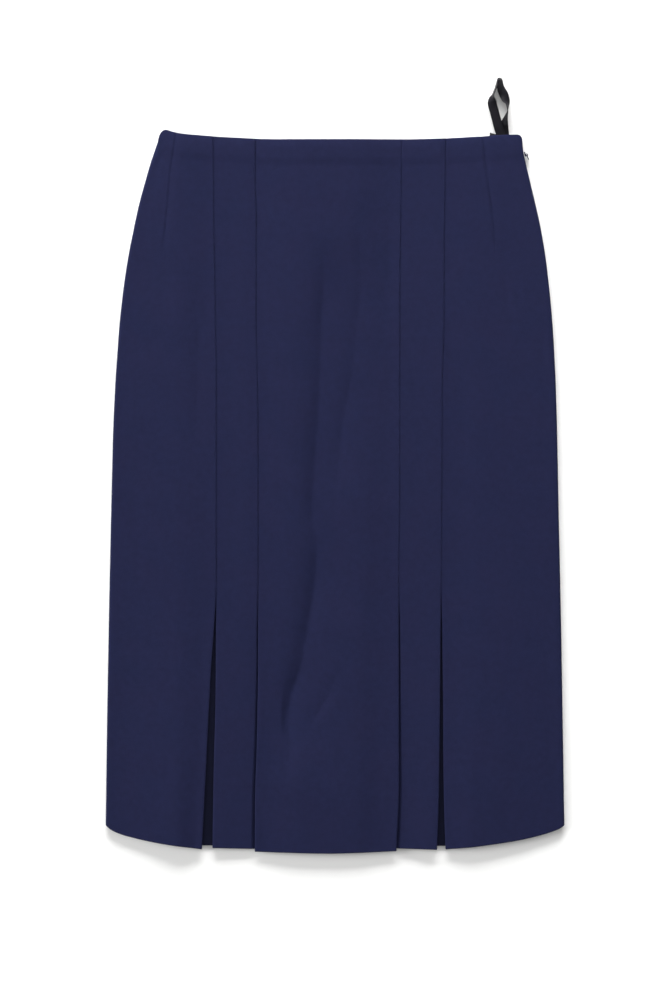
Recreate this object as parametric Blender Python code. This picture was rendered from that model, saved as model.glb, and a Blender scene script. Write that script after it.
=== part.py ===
"""A-line skirt with two open pleats at the front, laid flat on its back.

The skirt rests on Z = 0 with its waist toward +Y and its front up. Lengths are in millimetres until a mesh is made.
Every cloth piece is one wall, drawn as a row of cross-sections from the waist to the hem: its middle line in X and Z,
thickened to both sides.
"""

import math
from collections import namedtuple

import bmesh
import bpy
import numpy as np
from mathutils import Vector

MM = 0.001

# Cloth and how it stacks
CLOTH = 1.0
SEAM_GAP = 0.3
LAYER_RISE = 1.4
BACK_Z = CLOTH / 2
UNDERLAY_Z = BACK_Z + LAYER_RISE
RETURN_Z = BACK_Z + 2 * LAYER_RISE
FRONT_Z = BACK_Z + 3 * LAYER_RISE
SIDE_RADIUS = (FRONT_Z - BACK_Z) / 2
SIDE_GAP_ANGLE = 4.5
FOLD_RADIUS = LAYER_RISE / 2
FOLD_INSET = FOLD_RADIUS + CLOTH / 2

# Pleats: turned-under width above the opening, width below it, and how far the folds stand up at the hem
TURNED_UNDER = 8.0
PLEAT_DEPTH = 25.0
PLEAT_TOP_Y = -74.0
PLEAT_FULL_Y = -96.0
OPEN_LIFT = 3.6
LAP_LIFT = 0.9
HEM_Y = -346.0
UNDERLAY_TOP_Y = -86.0
UNDERLAY_HEM_LEFT_Y = -342.6
UNDERLAY_HEM_RIGHT_Y = -343.0
BACK_HEM_RISE = 6.0
BACK_WAIST_DROP = 0.4

# Heights down the skirt, as shares of the way from waist to hem
ROW_SHARES = (
    0.0, 0.025, 0.06, 0.105, 0.16, 0.22, 0.28, 0.345, 0.41, 0.475, 0.54, 0.59, 0.608, 0.624, 0.642, 0.68, 0.73,
    0.79, 0.85, 0.91, 0.96, 1.0,
)
UNDERLAY_SHARES = (0.0, 0.12, 0.26, 0.4, 0.55, 0.7, 0.85, 1.0)

Edge = namedtuple("Edge", "y left right")
OUTLINE = (
    Edge(348.9, -173.2, 183.6),
    Edge(341.0, -175.9, 184.2),
    Edge(325.4, -181.2, 187.3),
    Edge(307.7, -186.2, 191.4),
    Edge(290.1, -191.1, 195.6),
    Edge(260.7, -197.6, 202.1),
    Edge(231.3, -203.3, 206.8),
    Edge(201.9, -207.6, 210.3),
    Edge(172.5, -210.9, 213.0),
    Edge(143.1, -213.2, 214.9),
    Edge(113.7, -215.2, 216.3),
    Edge(54.9, -217.8, 218.0),
    Edge(-3.9, -219.2, 219.1),
    Edge(-121.5, -221.7, 221.6),
    Edge(-239.1, -223.7, 223.6),
    Edge(-321.4, -224.8, 224.9),
)

Seams = namedtuple("Seams", "y side_left slit_left lap_left lap_right slit_right side_right dart_left dart_right")
SEAMS = (
    Seams(352.8, -119.6, -119.6, -78.4, 65.7, 108.3, 108.3, -155.8, 145.0),
    Seams(309.7, -119.3, -119.3, -78.4, 65.1, 107.8, 107.8, -161.7, 149.9),
    Seams(275.4, -119.1, -119.1, -77.4, 64.7, 107.3, 107.3, -164.6, 154.8),
    Seams(241.1, -118.5, -118.5, -77.4, 64.2, 106.8, 106.8, -168.6, 157.8),
    Seams(172.5, -117.4, -117.4, -77.4, 63.7, 106.8, 106.8, -171.6, 166.6),
    Seams(103.9, -116.6, -116.6, -76.0, 63.7, 104.9, 104.9, -174.0, 170.5),
    Seams(35.3, -116.6, -116.6, -75.5, 63.7, 104.7, 104.7, -176.4, 174.1),
    Seams(-92.1, -116.6, -116.6, -75.5, 62.7, 103.9, 103.9, -181.0, 180.8),
    Seams(-131.3, -118.6, -116.8, -75.5, 62.7, 103.6, 104.9, -181.8, 181.8),
    Seams(-170.5, -121.4, -116.9, -75.5, 62.7, 103.2, 105.4, -182.4, 182.4),
    Seams(-209.7, -123.5, -117.3, -76.0, 62.7, 102.9, 105.9, -183.0, 183.0),
    Seams(-248.9, -125.4, -118.4, -76.8, 62.7, 102.4, 106.0, -183.7, 183.7),
    Seams(-288.1, -127.4, -119.2, -78.1, 62.7, 101.9, 106.5, -184.3, 184.3),
    Seams(-317.5, -128.9, -119.7, -78.4, 61.7, 101.2, 107.2, -184.8, 184.8),
    Seams(-345.9, -130.3, -120.1, -78.6, 60.3, 100.0, 108.3, -185.2, 185.2),
)

Point = namedtuple("Point", "x y")
WAIST = (
    Point(-173.2, 348.9),
    Point(-171.9, 352.8),
    Point(-170.3, 356.1),
    Point(-166.1, 358.4),
    Point(-159.7, 356.7),
    Point(-151.9, 354.8),
    Point(-132.3, 352.8),
    Point(-102.9, 350.8),
    Point(-53.9, 348.9),
    Point(63.7, 348.9),
    Point(108.8, 349.9),
    Point(142.1, 351.8),
    Point(158.8, 353.5),
    Point(179.3, 354.1),
    Point(181.3, 353.3),
    Point(182.8, 351.3),
    Point(183.6, 348.9),
)
SIDE_HEM_LEFT = (
    Point(-224.7, -322.6),
    Point(-220.5, -326.5),
    Point(-210.7, -331.2),
    Point(-200.9, -334.1),
    Point(-171.5, -340.4),
    Point(-151.9, -343.3),
    Point(-130.0, -346.1),
)
NARROW_HEM_LEFT = (Point(-120.5, -344.9), Point(-102.9, -345.3), Point(-79.4, -345.9))
CENTRE_HEM = (
    Point(-78.5, -348.5),
    Point(-53.9, -349.3),
    Point(-4.9, -350.3),
    Point(24.5, -349.5),
    Point(60.0, -347.9),
)
NARROW_HEM_RIGHT = (Point(60.3, -345.4), Point(99.5, -346.5))
SIDE_HEM_RIGHT = (
    Point(108.3, -346.2),
    Point(132.3, -344.3),
    Point(151.9, -341.8),
    Point(171.5, -338.9),
    Point(191.1, -335.1),
    Point(210.7, -329.7),
    Point(220.5, -325.8),
    Point(224.9, -322.5),
)
BACK_HEM = SIDE_HEM_LEFT[:5] + (Point(-100.0, -347.5), Point(0.0, -350.3), Point(100.0, -347.0)) + SIDE_HEM_RIGHT[2:]

# Soft folds of the front: places down the fold, then how wide and how high it stands
Ridge = namedtuple("Ridge", "width height places")
RIDGES = (
    Ridge(
        9.0,
        1.3,
        (
            Point(-10.7, 240.0),
            Point(-12.7, 140.1),
            Point(-18.5, 91.1),
            Point(-22.5, 8.8),
            Point(-13.6, -65.7),
            Point(-23.4, -92.1),
            Point(-32.3, -141.1),
            Point(-43.0, -180.3),
            Point(-47.9, -219.5),
            Point(-47.9, -300.0),
        ),
    ),
    Ridge(11.0, 0.8, (Point(31.0, 290.0), Point(29.0, 204.8), Point(22.0, 120.0), Point(12.0, 30.0))),
    Ridge(12.0, 0.7, (Point(30.0, -60.0), Point(20.0, -190.0), Point(14.0, -320.0))),
    Ridge(13.0, 0.9, (Point(-158.0, -150.0), Point(-160.0, -240.0), Point(-161.0, -330.0))),
    Ridge(14.0, 0.8, (Point(150.0, 120.0), Point(146.0, 0.0), Point(150.0, -160.0), Point(148.0, -320.0))),
)
RIDGE_FADE = 60.0
DART_GROOVE = 0.5
DART_HALF_WIDTH = 3.0
DART_END_LEFT_Y = 228.0
DART_END_RIGHT_Y = 160.0

# Ribbon loop: height over the floor and turn about its own length, in degrees, along the way from end to end
LOOP_WIDTH = 9.0
LOOP_STEPS = 64
LoopPlace = namedtuple("LoopPlace", "x y z turn")
LOOP = (
    LoopPlace(163.6, 339.5, 3.4, 0.0),
    LoopPlace(162.4, 354.0, 3.4, 0.0),
    LoopPlace(160.2, 361.6, 3.9, 0.0),
    LoopPlace(158.0, 370.0, 4.1, 2.0),
    LoopPlace(155.9, 378.0, 4.1, 4.0),
    LoopPlace(154.1, 385.0, 4.4, 12.0),
    LoopPlace(153.9, 389.6, 5.0, 50.0),
    LoopPlace(155.1, 394.0, 5.2, 84.0),
    LoopPlace(157.4, 401.0, 5.3, 86.0),
    LoopPlace(160.0, 407.4, 5.4, 86.0),
    LoopPlace(161.2, 408.9, 5.4, 82.0),
    LoopPlace(161.8, 405.5, 5.2, 60.0),
    LoopPlace(162.1, 400.5, 4.6, 38.0),
    LoopPlace(164.2, 393.8, 3.9, 12.0),
    LoopPlace(167.2, 387.8, 4.2, 40.0),
    LoopPlace(168.6, 382.0, 4.9, 80.0),
    LoopPlace(168.2, 377.6, 5.2, 90.0),
    LoopPlace(166.6, 371.5, 4.9, 108.0),
    LoopPlace(165.6, 367.5, 3.9, 130.0),
    LoopPlace(165.3, 361.5, 2.3, 166.0),
    LoopPlace(165.6, 355.0, 1.95, 179.0),
    LoopPlace(165.8, 339.5, 1.95, 180.0),
)

# Side zip: the tape inside, the slider on the right edge and its tab
ZIP_TOP_Y = 345.0
ZIP_END_Y = 150.0
TAPE_WIDTH = 8.0
TAPE_INSET = 2.2
TAPE_Z = 1.85
TAPE_STEPS = 9
SLIDER_Y = 334.9
SLIDER_GAP = 0.5
SLIDER_LENGTH = 4.6
SLIDER_DEPTH = 1.2
SLIDER_HEIGHT = 2.2
SLIDER_CORNER = 0.3
SIDE_MID_Z = BACK_Z + SIDE_RADIUS
EYE_OUT = 2.6
EYE_DOWN = 1.0
EYE_RADIUS = 1.4
EYE_HOLE = 0.75
EYE_THICK = 1.0
TAB_LENGTH = 5.2
TAB_WIDTH = 3.5
TAB_THICK = 0.7
TAB_BAR = 0.7
TAB_WINDOW_WIDTH = 1.7
TAB_WINDOW_END = 2.05
TAB_CORNER = 0.9
TAB_REST_ANGLE = -66.0

# Colours
NAVY = (0.0200, 0.0245, 0.0660)
NAVY_INNER = (0.0150, 0.0185, 0.0500)
RIBBON_BLACK = (0.0180, 0.0175, 0.0225)
TAPE_NAVY = (0.0170, 0.0200, 0.0500)
ZIP_METAL = (0.30, 0.30, 0.31)


def smooth(at, places, values):
    """Values at the places asked for, on a smooth curve through the points that never overshoots them."""
    order = np.argsort(places)
    xs = np.asarray(places, float)[order]
    ys = np.asarray(values, float)[order]
    steps = np.diff(xs)
    slopes = np.diff(ys) / steps
    tangents = np.concatenate([slopes[:1], np.zeros(len(xs) - 2), slopes[-1:]])
    rising = slopes[:-1] * slopes[1:] > 0
    before = np.where(rising, slopes[:-1], 1.0)
    after = np.where(rising, slopes[1:], 1.0)
    near = 2 * steps[1:] + steps[:-1]
    far = steps[1:] + 2 * steps[:-1]
    tangents[1:-1] = np.where(rising, (near + far) / (near / before + far / after), 0.0)
    at = np.asarray(at, float)
    i = np.clip(np.searchsorted(xs, at) - 1, 0, len(xs) - 2)
    t = np.clip((at - xs[i]) / steps[i], 0.0, 1.0)
    rise = (3 - 2 * t) * t * t
    swing = steps[i] * t * (1 - t) * ((1 - t) * tangents[i] - t * tangents[i + 1])
    return ys[i] * (1 - rise) + ys[i + 1] * rise + swing


def ease(t):
    """From 0 to 1 as t goes from 0 to 1, level at both ends."""
    t = np.clip(t, 0.0, 1.0)
    return t * t * (3 - 2 * t)


def along(table, column, y):
    return smooth(y, [row.y for row in table], [getattr(row, column) for row in table])


def across(points, x):
    return smooth(x, [p.x for p in points], [p.y for p in points])


def row_y(x, share, hem, waist_drop=0.0):
    """Height on the skirt at x, a share of the way down from waist to hem."""
    return (across(WAIST, x) - waist_drop) * (1 - share) + across(hem, x) * share


def line_x(table, column, share, hem, shift=0.0):
    """X where a line that runs down the skirt crosses the row at this share."""
    x = along(table, column, 0.0)
    for _ in range(6):
        x = along(table, column, row_y(x, share, hem)) + shift
    return float(x)


def pleat_depth(y):
    return TURNED_UNDER + (PLEAT_DEPTH - TURNED_UNDER) * ease((PLEAT_TOP_Y - y) / (PLEAT_TOP_Y - PLEAT_FULL_Y))


def open_share(y):
    """0 where the pleat is sewn shut, 1 at the hem."""
    return float(ease((PLEAT_FULL_Y - y) / (PLEAT_FULL_Y - HEM_Y)))


def ridge_height(x, y):
    height = np.zeros(np.broadcast(x, y).shape)
    for ridge in RIDGES:
        ys = [p.y for p in ridge.places]
        centre = smooth(y, ys, [p.x for p in ridge.places])
        fade = ease((max(ys) - y) / RIDGE_FADE) * ease((y - min(ys) + RIDGE_FADE) / RIDGE_FADE)
        height = height + ridge.height * fade * np.exp(-(((x - centre) / ridge.width) ** 2))
    return height


def new_object(name, mesh, colour, roughness, metallic=0.0):
    """Adds the mesh to the scene as one named object with its own material."""
    obj = bpy.data.objects.new(name, mesh)
    bpy.context.scene.collection.objects.link(obj)
    material = bpy.data.materials.new(name + "_material")
    material.use_nodes = True
    shader = material.node_tree.nodes["Principled BSDF"]
    shader.inputs["Base Color"].default_value = (*colour, 1.0)
    shader.inputs["Roughness"].default_value = roughness
    shader.inputs["Metallic"].default_value = metallic
    mesh.materials.append(material)
    return obj


def mesh_from(name, points, faces):
    """A mesh in metres from points in millimetres, its faces turned outward."""
    mesh = bpy.data.meshes.new(name)
    mesh.from_pydata([tuple(c * MM for c in p) for p in points], [], faces)
    work = bmesh.new()
    work.from_mesh(mesh)
    bmesh.ops.recalc_face_normals(work, faces=work.faces)
    work.to_mesh(mesh)
    work.free()
    return mesh


def tube_faces(rows, ring):
    """Faces of a closed skin over rows of equal rings, capped at both ends."""
    faces = []
    for r in range(rows - 1):
        for k in range(ring):
            a = r * ring + k
            b = r * ring + (k + 1) % ring
            faces.append((a, b, b + ring, a + ring))
    half = ring // 2
    for start in (0, (rows - 1) * ring):
        for k in range(half - 1):
            faces.append((start + k, start + k + 1, start + ring - 2 - k, start + ring - 1 - k))
    return faces


def wall(name, sections, colour, roughness=0.9):
    """A cloth wall from its middle lines: each section is a list of (x, y, z), thickened to both sides in X and Z."""
    points = []
    for section in sections:
        line = np.array(section, float)
        flat = line[:, [0, 2]]
        steps = np.diff(flat, axis=0)
        steps /= np.linalg.norm(steps, axis=1)[:, None]
        tangents = np.vstack([steps[:1], steps[:-1] + steps[1:], steps[-1:]])
        tangents /= np.linalg.norm(tangents, axis=1)[:, None]
        bend = np.concatenate([[1.0], np.sum(tangents[1:-1] * steps[1:], axis=1), [1.0]])
        offset = np.column_stack([-tangents[:, 1], tangents[:, 0]]) * (CLOTH / 2 / bend)[:, None]
        for side in (1, -1):
            rows = line.copy()
            rows[:, [0, 2]] = flat + side * offset
            points.extend(rows[::side].tolist())
    return new_object(name, mesh_from(name, points, tube_faces(len(sections), 2 * len(sections[0]))), colour, roughness)


def side_round(edge, top):
    """The rounding at a side, from the seam at half height to the top or the bottom: (distance outward, z)."""
    turn = 1 if top else -1
    centre = edge - CLOTH / 2 - SIDE_RADIUS
    places = []
    for k in range(5):
        angle = math.radians(SIDE_GAP_ANGLE + (90 - SIDE_GAP_ANGLE) * k / 4)
        places.append((centre + SIDE_RADIUS * math.cos(angle), SIDE_MID_Z + turn * SIDE_RADIUS * math.sin(angle)))
    return places


def fold(edge, top_z):
    """A fold at its outer edge, from the upper layer round to the lower one, in (distance outward, z) facing -."""
    centre = edge + FOLD_INSET
    middle = top_z - FOLD_RADIUS
    angles = [math.radians(90 + 45 * k) for k in range(5)]
    return [(centre + FOLD_RADIUS * math.cos(a), middle + FOLD_RADIUS * math.sin(a)) for a in angles]


def placed(places, side, share, hem):
    """Section points in X, Y and Z from (distance outward, z), on the left or the right."""
    section = []
    for out, z in places:
        x = side * out
        section.append((x, float(row_y(x, share, hem)), z))
    return section


def side_front_panel(name, side, hem):
    """Outer front panel, from the side seam over the top to the fold at its pleat and back underneath."""
    word = "left" if side < 0 else "right"
    dart_end = DART_END_LEFT_Y if side < 0 else DART_END_RIGHT_Y
    sections = []
    for share in ROW_SHARES:
        edge = side * line_x(OUTLINE, word, share, hem)
        pleat = side * line_x(SEAMS, "side_" + word, share, hem) + SEAM_GAP / 2
        dart = side * line_x(SEAMS, "dart_" + word, share, hem)
        y = float(row_y(side * pleat, share, hem))
        depth = pleat_depth(y)
        lift = OPEN_LIFT * open_share(y)
        inner = edge - CLOTH / 2 - SIDE_RADIUS
        flat = [inner + (dart + DART_HALF_WIDTH - inner) * t for t in (0.2, 0.6)]
        flat += [dart + DART_HALF_WIDTH, dart, dart - DART_HALF_WIDTH]
        flat += [dart - DART_HALF_WIDTH + (pleat + FOLD_INSET - dart + DART_HALF_WIDTH) * t for t in (0.25, 0.5, 0.75)]
        places = side_round(edge, True)
        for out in flat:
            here = float(row_y(side * out, share, hem))
            z = FRONT_Z + lift * (1 - ease((out - pleat) / 45.0))
            z += ridge_height(side * out, here) * ease((out - pleat - depth) / 10.0) * ease((inner - out) / 12.0)
            if out == dart:
                z -= DART_GROOVE * float(ease((here - dart_end) / 40.0))
            places.append((out, float(z)))
        places += fold(pleat, FRONT_Z + lift)
        for t in (0.33, 0.66, 1.0):
            out = pleat + FOLD_INSET + (depth - FOLD_INSET) * t
            places.append((out, RETURN_Z + lift * float(1 - ease((out - pleat) / depth))))
        sections.append(placed(places, side, share, hem))
    return wall(name, sections, NAVY)


def narrow_panel(name, side, hem):
    """Narrow front panel, folded under at its outer edge and running under the centre panel at its inner one."""
    word = "left" if side < 0 else "right"
    sections = []
    for share in ROW_SHARES:
        pleat = side * line_x(SEAMS, "slit_" + word, share, hem) - SEAM_GAP / 2
        lap = side * line_x(SEAMS, "lap_" + word, share, hem)
        y = float(row_y(side * pleat, share, hem))
        depth = pleat_depth(y)
        lift = OPEN_LIFT * open_share(y)
        low = lap + 0.8
        high = pleat - depth - 0.6
        places = []
        for t in (1.0, 0.66, 0.33):
            out = pleat - FOLD_INSET - (depth - FOLD_INSET) * t
            places.append((out, RETURN_Z + lift * float(1 - ease((pleat - out) / depth))))
        turned = fold(0.0, FRONT_Z + lift)[::-1]
        places += [(pleat - out, z) for out, z in turned]
        for t in (0.3, 0.62, 1.0):
            out = pleat - FOLD_INSET - (pleat - FOLD_INSET - high) * t
            places.append((out, FRONT_Z + lift * float(1 - ease((pleat - out) / 32.0))))
        for t in (0.3, 0.5, 0.7, 1.0):
            out = high + (low - high) * t
            drop = (FRONT_Z - UNDERLAY_Z) * float(ease(t))
            places.append((out, FRONT_Z - drop + lift * float(1 - ease((pleat - out) / 32.0))))
        for t in (0.4, 1.0):
            places.append((low - (depth + 0.8) * t, UNDERLAY_Z))
        sections.append(placed(places, side, share, hem))
    return wall(name, sections, NAVY)


def centre_panel(name, hem):
    """Wide middle panel, folded under at both edges on top of the narrow panels."""
    shares_across = (0.05, 0.13, 0.2, 0.27, 0.34, 0.41, 0.48, 0.55, 0.62, 0.7, 0.78, 0.87, 0.95)
    sections = []
    for share in ROW_SHARES:
        left = line_x(SEAMS, "lap_left", share, hem)
        right = line_x(SEAMS, "lap_right", share, hem)
        y = float(row_y(0.0, share, hem))
        depth = pleat_depth(y)
        lift = LAP_LIFT * open_share(y)
        turn_left = [(left + out, z) for out, z in fold(0.0, FRONT_Z + lift)[::-1]]
        turn_right = [(right - out, z) for out, z in fold(0.0, FRONT_Z + lift)]
        under_left = [(left + FOLD_INSET + (depth - FOLD_INSET) * t, t) for t in (1.0, 0.5)]
        under_right = [(right - FOLD_INSET - (depth - FOLD_INSET) * t, t) for t in (0.5, 1.0)]
        line = [(x, RETURN_Z + lift * float(1 - ease(t))) for x, t in under_left]
        line += turn_left
        for t in shares_across:
            x = left + (right - left) * t
            near = min(x - left, right - x)
            z = FRONT_Z + lift * float(1 - ease(near / 30.0))
            z += float(ridge_height(x, row_y(x, share, hem))) * float(ease(near / 20.0))
            line.append((x, z))
        line += turn_right
        line += [(x, RETURN_Z + lift * float(1 - ease(t))) for x, t in under_right]
        sections.append([(x, float(row_y(x, share, hem)), z) for x, z in line])
    return wall(name, sections, NAVY)


def back_panel(name):
    """Whole back, flat where it rests and rounding up at both sides to meet the front."""
    raised = []
    for p in BACK_HEM:
        reach = min(p.x - BACK_HEM[0].x, BACK_HEM[-1].x - p.x)
        raised.append(Point(p.x, p.y + BACK_HEM_RISE * float(ease(reach / 50.0))))
    sections = []
    for share in ROW_SHARES:
        left = line_x(OUTLINE, "left", share, BACK_HEM)
        right = line_x(OUTLINE, "right", share, BACK_HEM)
        line = [(-out, z) for out, z in side_round(-left, False)]
        inner_left = left + CLOTH / 2 + SIDE_RADIUS
        inner_right = right - CLOTH / 2 - SIDE_RADIUS
        for k in range(1, 10):
            line.append((inner_left + (inner_right - inner_left) * k / 10, BACK_Z))
        line += side_round(right, False)[::-1]
        sections.append([(x, float(row_y(x, share, raised, BACK_WAIST_DROP)), z) for x, z in line])
    return wall(name, sections, NAVY_INNER)


def pleat_underlay(name, word, hem_y):
    """Strip behind an open pleat, as wide as the two edges turned under over it."""
    sections = []
    for share in UNDERLAY_SHARES:
        y = UNDERLAY_TOP_Y * (1 - share) + hem_y * share
        middle = (along(SEAMS, "side_" + word, y) + along(SEAMS, "slit_" + word, y)) / 2
        half = PLEAT_DEPTH + abs(along(SEAMS, "side_" + word, y) - along(SEAMS, "slit_" + word, y)) / 2
        sections.append([(float(middle + half * t), y, UNDERLAY_Z) for t in (-1.0, -0.5, 0.0, 0.5, 1.0)])
    return wall(name, sections, NAVY_INNER)


def ribbon_loop(name):
    """Twisted ribbon: a thin rectangle carried along a smooth path."""
    keys = np.array(LOOP, float)
    travel = np.concatenate([[0.0], np.cumsum(np.linalg.norm(np.diff(keys[:, :3], axis=0), axis=1))])
    at = np.linspace(0.0, travel[-1], LOOP_STEPS)
    path = np.column_stack([smooth(at, travel, keys[:, k]) for k in range(3)])
    turns = np.radians(smooth(at, travel, keys[:, 3]))
    tangents = np.gradient(path, axis=0)
    points = []
    for place, tangent, turn in zip(path, tangents, turns):
        forward = Vector(tangent).normalized()
        level = forward.cross(Vector((0.0, 0.0, 1.0))).normalized()
        upright = level.cross(forward)
        width = level * math.cos(turn) + upright * math.sin(turn)
        thick = width.cross(forward)
        for w, t in ((-1, 1), (1, 1), (1, -1), (-1, -1)):
            corner = Vector(place) + width * (w * LOOP_WIDTH / 2) + thick * (t * CLOTH / 2)
            points.append(tuple(corner))
    return new_object(name, mesh_from(name, points, tube_faces(LOOP_STEPS, 4)), RIBBON_BLACK, 0.45)


def zip_tape(name):
    """Flat tape inside the right side, beside the seam."""
    sections = []
    for k in range(TAPE_STEPS):
        y = ZIP_TOP_Y + (ZIP_END_Y - ZIP_TOP_Y) * k / (TAPE_STEPS - 1)
        outer = float(along(OUTLINE, "right", y)) - TAPE_INSET
        sections.append([(outer - TAPE_WIDTH * t, y, TAPE_Z) for t in (1.0, 0.5, 0.0)])
    return wall(name, sections, TAPE_NAVY, 0.8)


def plate(name, outer, inner, low, high):
    """A flat plate between two heights, with the outline outer and a hole inner of as many points."""
    count = len(outer)
    points = []
    for z in (low, high):
        points += [(x, y, z) for x, y in outer]
        points += [(x, y, z) for x, y in inner]
    faces = []
    for k in range(count):
        n = (k + 1) % count
        for start in (0, 2 * count):
            faces.append((start + k, start + n, start + count + n, start + count + k))
        for start in (0, count):
            faces.append((start + k, start + n, start + 2 * count + n, start + 2 * count + k))
    return mesh_from(name, points, faces)


def slider_frame():
    """Where the slider sits on the right edge: its place, the way out from the edge and the way down it."""
    x = float(along(OUTLINE, "right", SLIDER_Y))
    ahead = Vector((float(along(OUTLINE, "right", SLIDER_Y - 4)), SLIDER_Y - 4))
    down = (ahead - Vector((x, SLIDER_Y))).normalized()
    out = Vector((-down.y, down.x))
    return Vector((x, SLIDER_Y)), out, down


def eye_centre():
    place, out, down = slider_frame()
    return place + out * EYE_OUT + down * EYE_DOWN


def zip_slider(name):
    """Slider body beside the seam, with the eye that carries the tab joined to it."""
    place, out, down = slider_frame()
    half = SLIDER_LENGTH / 2
    near = SLIDER_GAP
    far = SLIDER_GAP + SLIDER_DEPTH
    outline = (
        (near, -half + SLIDER_CORNER),
        (near, half - SLIDER_CORNER),
        (near + SLIDER_CORNER, half),
        (far - SLIDER_CORNER, half),
        (far, half - SLIDER_CORNER),
        (far, -half + SLIDER_CORNER),
        (far - SLIDER_CORNER, -half),
        (near + SLIDER_CORNER, -half),
    )
    count = len(outline)
    points = []
    for z in (SIDE_MID_Z - SLIDER_HEIGHT / 2, SIDE_MID_Z + SLIDER_HEIGHT / 2):
        for o, d in outline:
            p = place + out * o + down * d
            points.append((p.x, p.y, z))
    faces = [tuple(range(count)), tuple(range(count, 2 * count))]
    faces += [(k, (k + 1) % count, count + (k + 1) % count, count + k) for k in range(count)]
    body = new_object(name, mesh_from(name, points, faces), ZIP_METAL, 0.35, 1.0)
    eye = eye_centre()
    turns = [math.tau * k / 24 for k in range(24)]
    rim = [(eye.x + EYE_RADIUS * math.cos(a), eye.y + EYE_RADIUS * math.sin(a)) for a in turns]
    hole = [(eye.x + EYE_HOLE * math.cos(a), eye.y + EYE_HOLE * math.sin(a)) for a in turns]
    ring_mesh = plate(name + "_eye", rim, hole, SIDE_MID_Z - EYE_THICK / 2, SIDE_MID_Z + EYE_THICK / 2)
    ring = bpy.data.objects.new(name + "_eye", ring_mesh)
    bpy.context.scene.collection.objects.link(ring)
    ring.hide_render = True
    ring.hide_set(True)
    join = body.modifiers.new("eye", "BOOLEAN")
    join.operation = "UNION"
    join.solver = "EXACT"
    join.object = ring
    return body


def rectangle_loop(x0, x1, half, corner, count_side):
    """Points round a rectangle with cut corners, from its first corner on, in (along, across)."""
    corners = []
    for x, y, dx, dy in ((x0, -half, 1, 1), (x1, -half, -1, 1), (x1, half, -1, -1), (x0, half, 1, -1)):
        first = (x, y + dy * corner) if dx == dy else (x + dx * corner, y)
        second = (x + dx * corner, y) if dx == dy else (x, y + dy * corner)
        corners += [first, second]
    points = []
    for k, start in enumerate(corners):
        end = corners[(k + 1) % len(corners)]
        for t in range(count_side):
            s = t / count_side
            points.append((start[0] * (1 - s) + end[0] * s, start[1] * (1 - s) + end[1] * s))
    return points


def zip_pull(name):
    """Tab with a window at its top, whose short bar passes through the slider's eye. Its origin is the hinge."""
    half = TAB_WIDTH / 2
    outer = rectangle_loop(-TAB_BAR / 2, TAB_LENGTH, half, TAB_CORNER / 3, 2)
    inner = rectangle_loop(TAB_BAR / 2, TAB_WINDOW_END, TAB_WINDOW_WIDTH / 2, 0.1, 2)
    mesh = plate(name, outer, inner, -TAB_THICK / 2, TAB_THICK / 2)
    angle = math.radians(TAB_REST_ANGLE)
    out = Vector((math.cos(angle), math.sin(angle), 0.0))
    over = Vector((-math.sin(angle), math.cos(angle), 0.0))
    up = Vector((0.0, 0.0, 1.0))
    for vertex in mesh.vertices:
        a, b, c = vertex.co
        vertex.co = out * a + up * b + over * c
    work = bmesh.new()
    work.from_mesh(mesh)
    bmesh.ops.recalc_face_normals(work, faces=work.faces)
    work.to_mesh(mesh)
    work.free()
    pull = new_object(name, mesh, ZIP_METAL, 0.3, 1.0)
    eye = eye_centre()
    pull.location = (eye.x * MM, eye.y * MM, SIDE_MID_Z * MM)
    return pull


def main():
    for obj in list(bpy.data.objects):
        bpy.data.objects.remove(obj)
    back_panel("back_panel")
    pleat_underlay("pleat_underlay_left", "left", UNDERLAY_HEM_LEFT_Y)
    pleat_underlay("pleat_underlay_right", "right", UNDERLAY_HEM_RIGHT_Y)
    narrow_panel("front_narrow_panel_left", -1, NARROW_HEM_LEFT)
    narrow_panel("front_narrow_panel_right", 1, NARROW_HEM_RIGHT)
    centre_panel("front_centre_panel", CENTRE_HEM)
    side_front_panel("side_front_panel_left", -1, SIDE_HEM_LEFT)
    side_front_panel("side_front_panel_right", 1, SIDE_HEM_RIGHT)
    ribbon_loop("hanger_loop")
    zip_tape("zip_tape")
    zip_slider("zip_slider")
    zip_pull("zip_pull")


main()
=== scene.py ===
"""A-line skirt laid flat: fine cloth, ribbon, zip, floor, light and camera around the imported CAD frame."""

import math
from collections import namedtuple

import bmesh
import bpy
import numpy as np
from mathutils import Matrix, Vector


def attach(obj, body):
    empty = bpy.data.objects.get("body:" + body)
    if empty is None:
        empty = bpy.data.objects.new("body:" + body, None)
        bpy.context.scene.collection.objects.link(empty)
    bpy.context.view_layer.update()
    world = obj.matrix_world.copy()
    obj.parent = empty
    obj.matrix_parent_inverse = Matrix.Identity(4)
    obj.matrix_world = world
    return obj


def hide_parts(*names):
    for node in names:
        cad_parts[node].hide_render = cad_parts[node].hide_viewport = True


bl_info = {
    "name": "A-line skirt",
    "version": (1, 0, 0),
    "blender": (4, 5, 0),
    "location": "3D View > Sidebar > Skirt",
    "description": "Builds an a-line skirt with open pleats, laid flat, and the studio round it",
    "category": "Add Mesh",
}

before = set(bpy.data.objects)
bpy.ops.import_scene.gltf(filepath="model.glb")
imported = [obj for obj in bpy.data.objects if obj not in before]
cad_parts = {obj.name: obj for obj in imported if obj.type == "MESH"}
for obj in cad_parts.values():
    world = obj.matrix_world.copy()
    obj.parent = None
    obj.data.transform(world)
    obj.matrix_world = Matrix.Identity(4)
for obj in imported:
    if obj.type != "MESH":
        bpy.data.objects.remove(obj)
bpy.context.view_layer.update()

# Lengths are in millimetres until a mesh is made; places down the skirt are Y, with the waist toward +Y
MM = 0.001
BODY = "skirt"

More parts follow.
